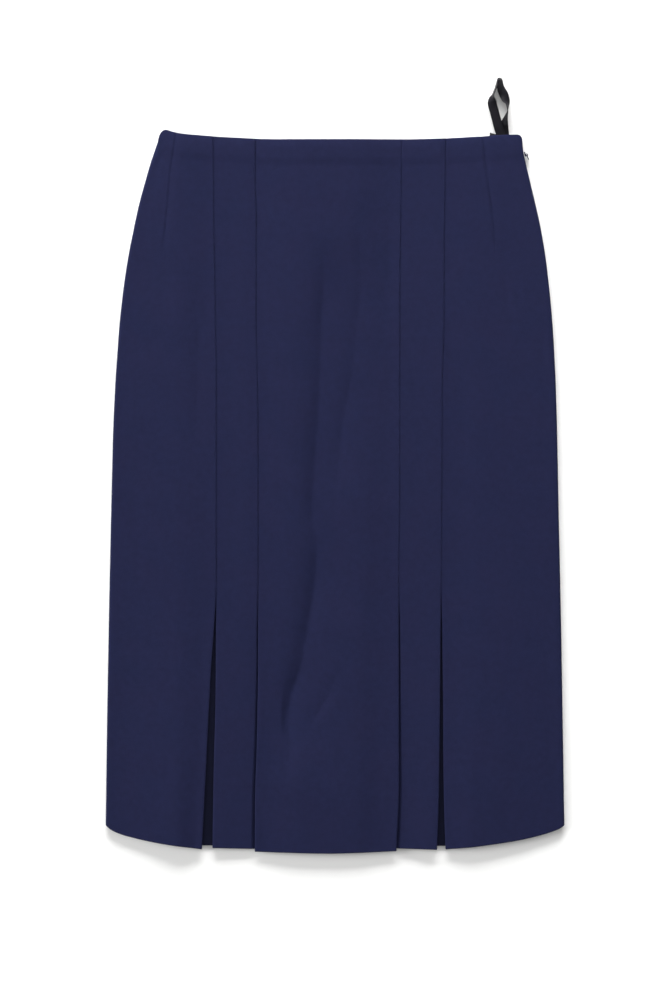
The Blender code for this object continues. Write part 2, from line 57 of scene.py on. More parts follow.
# The bands of a wave texture at scale 1 lie this far apart, in metres
BAND = 0.314

# How the cloth stacks, from the surface up
LAYER_RISE = 1.4
BACK_Z = 0.5
UNDERLAY_Z = BACK_Z + LAYER_RISE
RETURN_Z = BACK_Z + 2 * LAYER_RISE
FRONT_Z = BACK_Z + 3 * LAYER_RISE
SIDE_RADIUS = (FRONT_Z - BACK_Z) / 2
SIDE_MID_Z = BACK_Z + SIDE_RADIUS
SIDE_GAP_ANGLE = 3.2
FOLD_RADIUS = LAYER_RISE / 2
FOLD_REACH = 0.42
HALF_CLOTH = 0.5

# How far each fold is pressed into its neighbour where it is sewn, and how soon that ends below
SEAM_PRESS_LEFT = 0.4
SEAM_PRESS_RIGHT = 0.33
SEAM_PRESS_END = 40.0

# Pleats: edges turned under, where the openings start, and how the folds beside them stand up
TURNED_UNDER = 8.0
PLEAT_DEPTH = 25.0
PLEAT_TOP_Y = -74.0
PLEAT_FULL_Y = -96.0
LAP_LIFT = 0.9
LAP_LIFT_REACH_LEFT = 14.0
LAP_LIFT_REACH_RIGHT = 26.0
RIGHT_LAP_RISE = 0.4
LEFT_EDGE_RISE = 0.7
EDGE_REACH = 60.0
RIGHT_EDGE_RISE = 0.6
RIGHT_EDGE_OPEN = 0.4
NARROW_EDGE_REACH = 32.0

# Narrow panels, which fall under the centre panel's edge: how far past it, how steep and how gentle the fall
# is, sewn and with what the open pleat adds, and how far they run on
TUCK_LEFT = 0.8
TUCK_RIGHT = 1.15
TUCK_OPEN = 0.2
TUCK_END = 60.0
OPEN_POWER = 0.6
STEEP = 1.2
STEEP_OPEN = 2.4
GENTLE = 11.0
GENTLE_OPEN = 3.0
GENTLE_SHARE = 0.06
GENTLE_SHARE_OPEN = 0.1
RUN_ON = 0.8
LEFT_SHOULDER = 0.6
SHOULDER_REACH = 18.0

# Ends of the panels
HEM_Y = -346.0
UNDERLAY_TOP_Y = -86.0
UNDERLAY_HEM_LEFT_Y = -342.6
UNDERLAY_HEM_RIGHT_Y = -343.0
UNDERLAY_LENGTH = 257.0
BACK_HEM_RISE = 6.0
BACK_HEM_REACH = 50.0
BACK_WAIST_DROP = 0.5
LENGTH = 702.0

# Fine steps of the cloth mesh
ROW_STEP = 3.6
RIM_STEPS = (0.0, 0.05, 0.14, 0.28, 0.5, 1.0, 2.0)
RIM_RADIUS = 0.5
RIM_LEAST = 0.35
FOLD_STEPS = 11
ROUND_STEPS = 12
UNDER_STEPS = 12
LINE_STEPS = 6


def rows_of(kind, *rows):
    """A table with rows of one kind."""
    return tuple(kind(*row) for row in rows)


# Edges, seams and hems, measured on the skirt
Edge = namedtuple("Edge", "y left right")
OUTLINE = rows_of(
    Edge,
    (348.9, -173.2, 183.6), (341, -175.9, 184.2), (325.4, -181.2, 187.3), (307.7, -186.2, 191.4),
    (290.1, -191.1, 195.6), (260.7, -197.6, 202.1), (231.3, -203.3, 206.8), (201.9, -207.6, 210.3),
    (172.5, -210.9, 213), (143.1, -213.2, 214.9), (113.7, -215.2, 216.3), (54.9, -217.8, 218),
    (-3.9, -219.2, 219.1), (-121.5, -221.7, 221.6), (-239.1, -223.7, 223.6),
    (-321.4, -224.8, 224.9),
)

Seams = namedtuple(
    "Seams", "y side_left slit_left lap_left lap_right slit_right side_right dart_left dart_right"
)
SEAMS = rows_of(
    Seams,
    (352.8, -119.6, -119.6, -78.4, 65.7, 108.3, 108.3, -155.8, 145),
    (309.7, -119.3, -119.3, -78.4, 65.1, 107.8, 107.8, -161.7, 149.9),
    (275.4, -119.1, -119.1, -77.4, 64.7, 107.3, 107.3, -164.6, 154.8),
    (241.1, -118.5, -118.5, -77.4, 64.2, 106.8, 106.8, -168.6, 157.8),
    (172.5, -117.4, -117.4, -77.4, 63.7, 106.8, 106.8, -171.6, 166.6),
    (103.9, -116.6, -116.6, -76, 63.7, 104.9, 104.9, -174, 170.5),
    (35.3, -116.6, -116.6, -75.5, 63.7, 104.7, 104.7, -176.4, 174.1),
    (-92.1, -116.6, -116.6, -75.5, 62.7, 103.9, 103.9, -181, 180.8),
    (-131.3, -118.6, -116.8, -75.5, 62.7, 103.6, 104.9, -181.8, 181.8),
    (-170.5, -121.4, -116.9, -75.5, 62.7, 103.2, 105.4, -182.4, 182.4),
    (-209.7, -123.5, -117.3, -76, 62.7, 102.9, 105.9, -183, 183),
    (-248.9, -125.4, -118.4, -76.8, 62.7, 102.4, 106, -183.7, 183.7),
    (-288.1, -127.4, -119.2, -78.1, 62.7, 101.9, 106.5, -184.3, 184.3),
    (-317.5, -128.9, -119.7, -78.4, 61.7, 101.2, 107.2, -184.8, 184.8),
    (-345.9, -130.3, -120.1, -78.6, 60.3, 100, 108.3, -185.2, 185.2),
)

Point = namedtuple("Point", "x y")


def line(*pairs):
    """The points of a line, from pairs of x and y."""
    return rows_of(Point, *pairs)


WAIST = line(
    (-173.2, 348.9), (-172, 353.2), (-170.3, 356.7), (-166.1, 359), (-159.7, 357.3),
    (-151.9, 355.5), (-132.3, 353.5), (-102.9, 351.5), (-53.9, 349.6), (63.7, 349.6), (108.8, 350.5),
    (142.1, 352.2), (158.8, 353.6), (179.3, 354.3), (181.3, 353.5), (182.8, 351.4), (183.6, 348.9),
)
SIDE_HEM_LEFT = line(
    (-224.7, -322.6), (-220.5, -326.5), (-210.7, -331.2), (-200.9, -334.1), (-171.5, -340.4),
    (-151.9, -343.3), (-130, -346.1),
)
NARROW_HEM_LEFT = line((-120.5, -344.9), (-102.9, -345.3), (-79.4, -345.9))
CENTRE_HEM = line(
    (-78.5, -348.5), (-53.9, -349.3), (-4.9, -350.3), (24.5, -349.5), (60, -347.9),
)
NARROW_HEM_RIGHT = line((60.3, -345.4), (99.5, -346.5))
SIDE_HEM_RIGHT = line(
    (108.3, -346.2), (132.3, -344.3), (151.9, -341.8), (171.5, -338.9), (191.1, -335.1),
    (210.7, -329.7), (220.5, -325.8), (224.9, -322.5),
)
# How far the back's waist edge shows above the front's, near the right dart
BACK_PEEK = line((100, 0), (116, 1.1), (140, 1.1), (150, 0))
BACK_HEM = SIDE_HEM_LEFT[:5] + line((-100, -347.5), (0, -350.3), (100, -347)) + SIDE_HEM_RIGHT[2:]

# Creases: how far each reaches left and right of its line, how high it stands (a trough is below 0), and the
# line. Steep and short on one side, long and gentle on the other, as cloth lies
Crease = namedtuple("Crease", "left right height places")
CENTRE_CREASES = rows_of(
    Crease,
    (
        8.5,
        34,
        -3.1,
        line(
            (-10.8, 229.3), (-11.8, 192.1), (-13.7, 170.5), (-14.9, 105.8), (-17.6, 64.7),
            (-20.6, 19.6), (-22.1, -18.6), (-17.4, -54.9), (-18.6, -77.4), (-22.1, -103.9),
            (-26, -129.4), (-29.9, -150.9), (-35.3, -174.4), (-43.1, -196), (-46.6, -217.6),
            (-43.8, -241.1), (-44.1, -258),
        ),
    ),
    (10, 24, -1.1, line((-30.5, -155), (-43.1, -196), (-46.6, -217.6), (-44.1, -258))),
    (19, 8, -1, line((-20, -50), (-20.5, -80), (-30, -130), (-42, -175))),
    (
        9,
        26,
        -1.6,
        line(
            (24.5, 278.3), (24.5, 235.2), (25.5, 201.9), (21.6, 167.6), (18.6, 133.3), (15, 105.8),
            (9.5, 79.4), (4.9, 45.1), (2.5, 10),
        ),
    ),
    (4.5, 4.5, -0.6, line((1, -174.4), (-6.9, -196), (-19.6, -217.6), (-24.5, -227.4))),
    (20, 20, 0.5, line((36, 60), (32, -60), (28, -190), (24, -330))),
)
SIDE_CREASES = rows_of(
    Crease,
    (13, 17, 0.8, line((-156.8, 350), (-162.2, 300), (-168.6, 231))),
    (14, 16, 0.7, line((146, 350), (155, 270), (166.6, 170))),
    (13, 9, -0.9, line((-132.3, 205), (-134, 150), (-136.2, 74.5), (-137, 40))),
    (8, 8, -0.4, line((-163.7, 300), (-165.6, 235), (-167, 190))),
    (14, 14, -0.4, line((-192, 60), (-198, -60), (-196, -230))),
    (9, 6, -0.9, line((162, 256), (165.5, 226), (169, 202), (173, 172))),
    (20, 12, -0.5, line((128, 150), (126, 0), (124, -120))),
    (16, 16, 0.5, line((160, -60), (164, -190), (158, -335))),
)
BACK_CREASES = rows_of(
    Crease,
    (9, 14, 0.8, line((60, 250), (52, 60), (66, -120), (72, -300))),
    (12, 8, 0.6, line((-70, 160), (-84, -40), (-80, -260))),
    (10, 10, 0.5, line((-10, 20), (-4, -150), (-14, -330))),
)
CREASE_FADE = 88.0
CREASE_FADE_SHARE = 0.6
CREASE_START = 0.4
CREASE_ROUND = 1.7
CENTRE_BELLY = 2.6
CENTRE_BELLY_REACH = 46.0
SIDE_BELLY_LEFT = 1.9
SIDE_BELLY_RIGHT = 1.1
SIDE_BELLY_REACH = 80.0
SIDE_BELLY_START = 4.0
SIDE_BELLY_RISE = 36.0
SIDE_BELLY_RISE_OPEN = 12.0
LEAST_RELIEF = -0.25

# Relief keeps off the edges: how far from each one it is whole
CALM_AT_PLEAT = 9.0
CALM_AT_SIDE = 14.0
CALM_AT_LAP = 12.0
CALM_AT_NARROW_FOLD = 6.0
CALM_ON_BACK = 30.0
BACK_RELIEF = 0.6
NARROW_RELIEF = 0.5
NARROW_LEAST_RELIEF = -0.1
TURNED_CLEARANCE = 1.15

# Soft unevenness of pressed cloth: height, length of a wave across and down, where it starts, and how all
# sway. The underlays have one ripple of their own
Wave = namedtuple("Wave", "height across down start")
WAVES = rows_of(
    Wave,
    (0.14, 88, 310, 0.4),
    (0.10, 47, 170, 2.1),
    (0.07, 31, 96, 4.4),
    (0.05, 190, 61, 1.2),
)
WAVE_SWAY = 1.3
WAVE_SWAY_LENGTH = 2.3
RIPPLE = 0.12
RIPPLE_ACROSS = 5.0
RIPPLE_DOWN = 40.0
RIPPLE_CALM = 10.0

# Waist facing pressed through from inside, and the darts
FACING_STEP = 0.34
FACING_EDGE = 4.0
WAIST_ROUND = 9.0
WAIST_ROUND_POWER = 2.2
WAIST_DROP = 0.5
DART_GROOVE_LEFT = 0.5
DART_GROOVE_RIGHT = 0.8
DART_LEFT = 1.3
DART_RIGHT = 3.6
DART_END_Y = 226.0
DART_FADE = 40.0
DART_COLUMNS = (3.2, 2.2, 1.4, 0.8, 0.35, 0.0, -0.35, -0.8, -1.4, -2.2, -3.2)

# Ribbon loop from end to end: x, y and z of its middle, and its turn about its own length, in degrees
LOOP = (
    (163.6, 339.5, 3.4, 0), (162.4, 354, 3.4, 0), (160.2, 361.6, 3.9, 0),
    (158, 370, 4.1, 2), (155.9, 378, 4.1, 4), (154.1, 385, 4.4, 12),
    (153.9, 389.6, 5, 50), (155.3, 394, 5.2, 80), (157.6, 400, 5.3, 80),
    (159.4, 405, 5.3, 76), (161.2, 408.7, 5.3, 66), (162, 406.9, 5.2, 58),
    (161.9, 403.8, 5, 48), (162.1, 401.4, 4.6, 40), (162.9, 398.8, 4.2, 28),
    (165.2, 394, 3.9, 8), (167.6, 388, 4.2, 32), (169, 383, 4.9, 72),
    (169.2, 378, 5.2, 88), (168, 373, 4.9, 104), (166.6, 367.5, 3.9, 130),
    (165.7, 361.5, 2.3, 166), (166.3, 355, 1.95, 179), (166.5, 339.5, 1.95, 180),
)

LOOP_STEPS = 260
LOOP_THICK = 0.8
# The ribbon's thin woven edge: where it and the full thickness start, in from the rim, and its share of that
LOOP_RIM = 0.05
LOOP_BODY = 0.35
LOOP_RIM_SHARE = 0.55

# End of the loop's ribbon, folded down inside and just above the waist: its outline, and between which z
LOOP_END = line(
    (151.6, 348), (151.7, 356), (152.2, 356.6), (154.4, 355.7), (158.6, 354.6), (159, 348),
)
LOOP_END_LOW = 1.6
LOOP_END_HIGH = 2.4

# Side zip, inside the right seam
ZIP_TOP_Y = 345.0
ZIP_END_Y = 150.0
TAPE_INSET = 2.2
TAPE_WIDTH = 8.0
TAPE_Z = 1.85
TAPE_HALF_THICK = 0.42
TAPE_ROWS = 80
TAPE_COLUMNS = 14
COIL_PITCH = 1.3
COIL_INSET = 2.6
COIL_HALF_WIDTH = 0.8
COIL_RADIUS = 0.33
COIL_RISE = 0.15
COIL_SIDES = 8

# Stitches: each run's seam with its lowest and highest y, how deep they lie, and one stitch's form
STITCH_TOP_Y = 340.0
DART_STITCH_TOP_Y = 345.0
DART_STITCH_END_Y = DART_END_Y + 24
STITCH_RUNS = (
    *((seam, PLEAT_FULL_Y, STITCH_TOP_Y) for seam in ("side_left", "lap_left", "lap_right", "side_right")),
    *((dart, DART_STITCH_END_Y, DART_STITCH_TOP_Y) for dart in ("dart_left", "dart_right")),
)
STITCH_DEPTH = -0.55
DART_STITCH_DEPTH = 0.28
STITCH_SHARE = 0.7
STITCH_STEPS = (-1.0, -0.6, 0.0, 0.6, 1.0)
STITCH_SIDES = 6
STITCH_RADIUS = 0.13
STITCH_SLANT = 0.12
STITCH_TIP = 0.12

# Flat cuts, turned-under edges included: width at the waist, at the hem and on average, and length. The
# script fills in no cuts; the averages would come from the measured outline and seams, which swell at the hip
Cut = namedtuple("Cut", "waist hem mean length")

# Picture frame: size of a pixel on the skirt, and where its middle looks
PIXEL = 0.98
PICTURE_HEIGHT = 1008
LOOK_X = 1.0
LOOK_Y = -7.8
LENS = 135.0
SENSOR = 36.0

# Studio: white light from all round, the floor's half width, and the lamps, with watts and the rest in metres
WORLD_LIGHT = 0.28
FLOOR_REACH = 40
Lamp = namedtuple("Lamp", "name energy wide tall place")
LAMPS = rows_of(
    Lamp,
    ("key_from_the_waist", 590, 3.6, 2.1, (-0.20, 4.13, 1.14)),
    ("side_from_the_left", 716, 3.6, 3.6, (-8.40, 0.90, 3.07)),
    ("faint_from_the_right", 100, 2.6, 2.6, (8.60, 0.40, 1.10)),
    ("overhead", 66, 4, 4, (0, 0.3, 6)),
)


def linear(hex_colour):
    """A linear colour from an sRGB hex value."""
    values = [int(hex_colour[k : k + 2], 16) / 255 for k in (1, 3, 5)]
    return tuple(v / 12.92 if v <= 0.04045 else ((v + 0.055) / 1.055) ** 2.4 for v in values)


def tinted(colour, share):
    """The colour made darker or lighter, with its alpha."""
    return (*[min(1.0, c * share) for c in colour], 1.0)


def smooth(at, places, values):
    """Values at the places asked for, on a smooth curve through the points that never overshoots them."""
    order = np.argsort(places)
    xs = np.asarray(places, float)[order]
    ys = np.asarray(values, float)[order]
    steps = np.diff(xs)
    slopes = np.diff(ys) / steps
    tangents = np.concatenate([slopes[:1], np.zeros(len(xs) - 2), slopes[-1:]])
    rising = slopes[:-1] * slopes[1:] > 0
    before = np.where(rising, slopes[:-1], 1.0)
    after = np.where(rising, slopes[1:], 1.0)
    near = 2 * steps[1:] + steps[:-1]
    far = steps[1:] + 2 * steps[:-1]
    tangents[1:-1] = np.where(rising, (near + far) / (near / before + far / after), 0.0)
    at = np.asarray(at, float)
    i = np.clip(np.searchsorted(xs, at) - 1, 0, len(xs) - 2)
    t = np.clip((at - xs[i]) / steps[i], 0.0, 1.0)
    rise = (3 - 2 * t) * t * t
    swing = steps[i] * t * (1 - t) * ((1 - t) * tangents[i] - t * tangents[i + 1])
    return ys[i] * (1 - rise) + ys[i + 1] * rise + swing


def ease(t):
    """From 0 to 1 as t goes from 0 to 1, level at both ends."""
    t = np.clip(t, 0.0, 1.0)
    return t * t * (3 - 2 * t)


def along(table, column, y):
    """A column of the table where it passes the height y."""
    return smooth(y, [row.y for row in table], [getattr(row, column) for row in table])


def across(points, x):
    """The height of a line of points where it passes x."""
    return smooth(x, [p.x for p in points], [p.y for p in points])


def row_y(x, share, hem, waist_drop=0.0):
    """Height on the skirt at x, a share of the way down from waist to hem."""
    return (across(WAIST, x) - waist_drop) * (1 - share) + across(hem, x) * share


def line_x(table, column, share, hem):
    """X where a line that runs down the skirt crosses the row at this share."""
    x = along(table, column, 0.0)
    for _ in range(LINE_STEPS):
        x = along(table, column, row_y(x, share, hem))
    return float(x)


def pleat_depth(y):
    """How far a panel's edge is turned under at this height."""
    widening = ease((PLEAT_TOP_Y - y) / (PLEAT_TOP_Y - PLEAT_FULL_Y))
    return TURNED_UNDER + (PLEAT_DEPTH - TURNED_UNDER) * widening


def open_share(y):
    """0 where the pleat is sewn shut, 1 at the hem."""
    return float(ease((PLEAT_FULL_Y - y) / (PLEAT_FULL_Y - HEM_Y)))


def seam_press(side, y):
    """How far a fold is pressed into its neighbour: fully where it is sewn, not at all where it is open."""
    press = SEAM_PRESS_LEFT if side < 0 else SEAM_PRESS_RIGHT
    return press * float(1 - ease((PLEAT_TOP_Y - y) / SEAM_PRESS_END))


def crease_height(creases, x, y):
    """Sum of the creases at these places; each fades in and out along its line."""
    height = np.zeros(np.broadcast(x, y).shape)
    for crease in creases:
        ys = [p.y for p in crease.places]
        fade = min(CREASE_FADE, CREASE_FADE_SHARE * (max(ys) - min(ys)))
        off = x - smooth(y, ys, [p.x for p in crease.places])
        away = np.sqrt(off * off + CREASE_ROUND * CREASE_ROUND) - CREASE_ROUND
        share = ease((max(ys) - y) / fade + CREASE_START) * ease((y - min(ys)) / fade + CREASE_START)
        height = height + crease.height * share * np.exp(-away / np.where(off > 0, crease.right, crease.left))
    return height


def wave_height(x, y):
    """Height of the pressed cloth's soft unevenness at these places."""
    height = np.zeros(np.broadcast(x, y).shape)
    for wave in WAVES:
        phase = math.tau * (x / wave.across + y / wave.down) + wave.start
        sway = WAVE_SWAY * np.sin(math.tau * y / (wave.down * WAVE_SWAY_LENGTH))
        height = height + wave.height * np.sin(phase + sway)
    return height


def facing_height(x, y, depth):
    """The waist facing's edge, pressed through as a soft step, and the waist's own rounding."""
    below = across(WAIST, x) - y
    rounded = np.clip(1 - below / WAIST_ROUND, 0.0, 1.0) ** WAIST_ROUND_POWER
    return FACING_STEP * (1 - ease((below - depth) / FACING_EDGE + 0.5)) - WAIST_DROP * rounded


def shares_down():
    """Shares of the way from waist to hem, close together at both rims."""
    ends = np.array(RIM_STEPS) / LENGTH
    count = int(LENGTH / ROW_STEP)
    body = np.linspace(ends[-1], 1 - ends[-1], count)
    return np.concatenate([ends[:-1], body, 1 - ends[:-1][::-1]])


def rim_half(shares, cloth):
    """Half the cloth's thickness on each row, rounded off at the cut rims."""
    from_end = np.minimum(shares, 1 - shares) * LENGTH
    t = np.clip(from_end / RIM_RADIUS, 0.0, 1.0)
    return cloth / 2 * np.maximum(np.sqrt(1 - (1 - t) ** 2), RIM_LEAST)


def mesh_object(name, points, faces, material):
    """A smooth-shaded object from points in millimetres, its faces turned outward, riding on the skirt."""
    mesh = bpy.data.meshes.new(name)
    mesh.from_pydata((np.asarray(points, float) * MM).tolist(), [], faces)
    work = bmesh.new()
    work.from_mesh(mesh)
    bmesh.ops.recalc_face_normals(work, faces=work.faces)
    work.to_mesh(mesh)
    work.free()
    mesh.shade_smooth()
    mesh.materials.append(material)
    piece = bpy.data.objects.new(name, mesh)
    bpy.context.scene.collection.objects.link(piece)
    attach(piece, BODY)
    return piece


def tube_faces(rows, ring):
    """Faces of a closed skin over rows of equal rings, capped at both ends."""
    r = np.arange(rows - 1)[:, None] * ring
    k = np.arange(ring)[None, :]
    n = (k + 1) % ring
    quads = np.stack([r + k, r + n, r + n + ring, r + k + ring], axis=2).reshape(-1, 4).tolist()
    half = ring // 2
    for start in (0, (rows - 1) * ring):
        for k in range(half - 1):
            quads.append([start + k, start + k + 1, start + ring - 2 - k, start + ring - 1 - k])
    return quads


def add_tube(points, faces, rings):
    """Adds a small closed tube, from its rings of points, to the points and faces of a mesh of many."""
    start = len(points)
    points += [point for ring in rings for point in ring]
    faces += [[start + k for k in face] for face in tube_faces(len(rings), len(rings[0]))]


def cloth_wall(name, lines, half, material):
    """A thin cloth shell round its middle lines (rows, columns, xyz), half its thickness to both sides."""
    flat = lines[:, :, [0, 2]]
    steps = np.diff(flat, axis=1)
    steps = steps / np.linalg.norm(steps, axis=2)[:, :, None]
    tangents = np.concatenate([steps[:, :1], steps[:, :-1] + steps[:, 1:], steps[:, -1:]], axis=1)
    tangents = tangents / np.linalg.norm(tangents, axis=2)[:, :, None]
    bend = np.ones(tangents.shape[:2])
    bend[:, 1:-1] = np.sum(tangents[:, 1:-1] * steps[:, 1:], axis=2)
    offset = np.stack([-tangents[:, :, 1], tangents[:, :, 0]], axis=2) * (half[:, None] / bend)[:, :, None]
    upper = lines.copy()
    lower = lines.copy()
    upper[:, :, [0, 2]] = flat + offset
    lower[:, :, [0, 2]] = flat - offset
    rings = np.concatenate([upper, lower[:, ::-1]], axis=1)
    rows, ring = rings.shape[:2]
    return mesh_object(name, rings.reshape(-1, 3), tube_faces(rows, ring), material)


def side_round(edge, top):
    """The rounding at a side, from the seam at half height up or down: distance outward, and z."""
    centre = edge - HALF_CLOTH - SIDE_RADIUS
    angles = np.radians(np.linspace(SIDE_GAP_ANGLE, 90, ROUND_STEPS))
    turn = 1 if top else -1
    return centre + SIDE_RADIUS * np.cos(angles), SIDE_MID_Z + turn * SIDE_RADIUS * np.sin(angles)


def fold(top_z):
    """A fold, from the upper layer round to the lower one: distance in from its edge, and z."""
    angles = np.radians(np.linspace(90, 270, FOLD_STEPS))
    return HALF_CLOTH + FOLD_REACH * (1 + np.cos(angles)), top_z - FOLD_RADIUS * (1 - np.sin(angles))


def section(x, z, share, hem, waist_drop=0.0):
    """One row of a panel, as points x, y, z."""
    return np.column_stack([x, row_y(x, share, hem, waist_drop), z])


def side_front_lines(side, hem, sizes):
    """Middle lines of an outer front panel: side rounding, top, fold at the pleat, turned-under edge."""
    word = "left" if side < 0 else "right"
    groove = DART_GROOVE_LEFT if side < 0 else DART_GROOVE_RIGHT
    belly = SIDE_BELLY_LEFT if side < 0 else SIDE_BELLY_RIGHT
    lines = []
    for share in shares_down():
        edge = side * line_x(OUTLINE, word, share, hem)
        pleat = side * line_x(SEAMS, "side_" + word, share, hem)
        dart = side * line_x(SEAMS, "dart_" + word, share, hem)
        at = float(row_y(side * pleat, share, hem))
        pleat = pleat - seam_press(side, at)
        depth = float(pleat_depth(at))
        opened = open_share(at)
        lift = sizes.open_lift / MM * opened + (LEFT_EDGE_RISE if side < 0 else 0.0)
        round_out, round_z = side_round(edge, True)
        fold_in, fold_z = fold(FRONT_Z + lift)
        inner = round_out[-1]
        start = pleat + fold_in[0]
        beside = np.array(DART_COLUMNS) + dart
        outer_flat = np.linspace(inner, beside[0], 19)[1:-1]
        inner_flat = np.linspace(beside[-1], start, 34)[1:-1]
        out = np.concatenate([outer_flat, beside, inner_flat])
        x = side * out
        y = row_y(x, share, hem)
        rise = ease((out - pleat - SIDE_BELLY_START) / (SIDE_BELLY_RISE - SIDE_BELLY_RISE_OPEN * opened))
        rise = rise * ease((inner - out) / SIDE_BELLY_REACH)
        relief = belly * (1 + opened) * rise + crease_height(SIDE_CREASES, x, y) + wave_height(x, y)
        relief = relief * ease((out - pleat) / CALM_AT_PLEAT) * ease((inner - out) / CALM_AT_SIDE)
        z = FRONT_Z + lift * (1 - ease((out - pleat) / EDGE_REACH))
        z = z + sizes.crease * np.maximum(relief, LEAST_RELIEF) + facing_height(x, y, sizes.facing_depth / MM)
        off = x - side * dart
        flank = np.where(off < 0, DART_LEFT, DART_RIGHT)
        z = z - groove * ease((y - DART_END_Y) / DART_FADE) * np.exp(-((off / flank) ** 2))
        under = np.linspace(fold_in[-1], depth, UNDER_STEPS)[1:]
        under_z = RETURN_Z + lift * (1 - ease(under / depth))
        all_out = np.concatenate([round_out, out, pleat + fold_in, pleat + under])
        all_z = np.concatenate([round_z, z, fold_z, under_z])
        lines.append(section(side * all_out, all_z, share, hem))
    return np.array(lines)


def narrow_lines(side, hem, sizes):
    """Middle lines of a narrow panel: turned-under edge, fold, top, and down under the centre panel."""
    word = "left" if side < 0 else "right"
    tuck = TUCK_LEFT if side < 0 else TUCK_RIGHT
    lines = []
    for share in shares_down():
        pleat = side * line_x(SEAMS, "slit_" + word, share, hem)
        lap = side * line_x(SEAMS, "lap_" + word, share, hem)
        y = float(row_y(side * pleat, share, hem))
        pleat = pleat + seam_press(side, y)
        depth = float(pleat_depth(y))
        lift = sizes.open_lift / MM * open_share(y)
        opened = open_share(y) ** OPEN_POWER
        lift = lift + (0.0 if side < 0 else RIGHT_EDGE_RISE + RIGHT_EDGE_OPEN * opened)
        shoulder = LEFT_SHOULDER * (1 - opened) if side < 0 else 0.0
        low = lap - tuck + (tuck + TUCK_OPEN) * float(ease((PLEAT_TOP_Y - y) / TUCK_END))
        steep = STEEP + STEEP_OPEN * opened
        gentle = GENTLE + GENTLE_OPEN * opened
        high = low + gentle
        fold_in, fold_z = fold(FRONT_Z + lift)
        under = np.linspace(depth, fold_in[-1], UNDER_STEPS)[:-1]
        under_z = RETURN_Z + lift * (1 - ease(under / depth))
        over = np.linspace(pleat - fold_in[0], high, 16)[1:]
        drop = np.concatenate([np.linspace(high, low + steep, 9)[1:], np.linspace(low + steep, low, 11)[1:]])
        beyond = low - (depth + RUN_ON) * np.linspace(0, 1, 9)[1:]
        over_z = FRONT_Z + lift * (1 - ease((pleat - over) / NARROW_EDGE_REACH))
        over_z = over_z + shoulder * (1 - ease((over - high) / SHOULDER_REACH))
        soft = GENTLE_SHARE + GENTLE_SHARE_OPEN * opened
        fall = soft * ease((high - drop) / gentle) + (1 - soft) * ease((low + steep - drop) / steep)
        drop_z = FRONT_Z - (FRONT_Z - UNDERLAY_Z) * fall
        drop_z = drop_z + lift * (1 - ease((pleat - drop) / NARROW_EDGE_REACH)) + shoulder * (1 - fall)
        out = np.concatenate([pleat - under, pleat - fold_in[::-1], over, drop, beyond])
        z = np.concatenate([under_z, fold_z[::-1], over_z, drop_z, np.full(len(beyond), UNDERLAY_Z)])
        below = np.zeros(len(under) + len(fold_in))
        top = np.concatenate([below, np.ones(len(over)), 1 - fall, np.zeros(len(beyond))])
        x = side * out
        ys = row_y(x, share, hem)
        waves = np.maximum(wave_height(x, ys), NARROW_LEAST_RELIEF)
        rise = facing_height(x, ys, sizes.facing_depth / MM) + NARROW_RELIEF * sizes.crease * waves
        z = z + top * rise * ease((pleat - out) / CALM_AT_NARROW_FOLD)
        lines.append(section(x, z, share, hem))
    return np.array(lines)


def centre_lines(hem, sizes):
    """Middle lines of the centre panel, its two edges folded under."""
    lines = []
    for share in shares_down():
        left = line_x(SEAMS, "lap_left", share, hem)
        right = line_x(SEAMS, "lap_right", share, hem)
        y = float(row_y(0.0, share, hem))
        depth = float(pleat_depth(y))
        lift_left = LAP_LIFT * open_share(y)
        lift_right = lift_left + RIGHT_LAP_RISE
        fold_in, fold_z = fold(FRONT_Z)
        x = np.linspace(left + fold_in[0], right - fold_in[0], 84)[1:-1]
        ys = row_y(x, share, hem)
        near = np.minimum(x - left, right - x)
        relief = CENTRE_BELLY * ease(near / CENTRE_BELLY_REACH) + crease_height(CENTRE_CREASES, x, ys)
        relief = relief + wave_height(x, ys)
        z = FRONT_Z + lift_left * (1 - ease((x - left) / LAP_LIFT_REACH_LEFT))
        z = z + lift_right * (1 - ease((right - x) / LAP_LIFT_REACH_RIGHT))
        z = z + sizes.crease * relief * ease(near / CALM_AT_LAP)
        z = z + facing_height(x, ys, sizes.facing_depth / MM)
        under = np.linspace(fold_in[-1], depth, UNDER_STEPS)[1:]
        settle = 1 - ease((under - fold_in[-1]) / (depth - fold_in[-1]))
        under_left = RETURN_Z + lift_left * settle
        under_right = RETURN_Z + lift_right * settle
        z = np.maximum(z, np.interp(x - left, under, under_left + TURNED_CLEARANCE, left=0.0, right=0.0))
        z = np.maximum(z, np.interp(right - x, under, under_right + TURNED_CLEARANCE, left=0.0, right=0.0))
        xs = np.concatenate([left + under[::-1], left + fold_in[::-1], x, right - fold_in, right - under])
        zs = np.concatenate([under_left[::-1], fold_z[::-1] + lift_left, z, fold_z + lift_right, under_right])
        lines.append(section(xs, zs, share, hem))
    return np.array(lines)


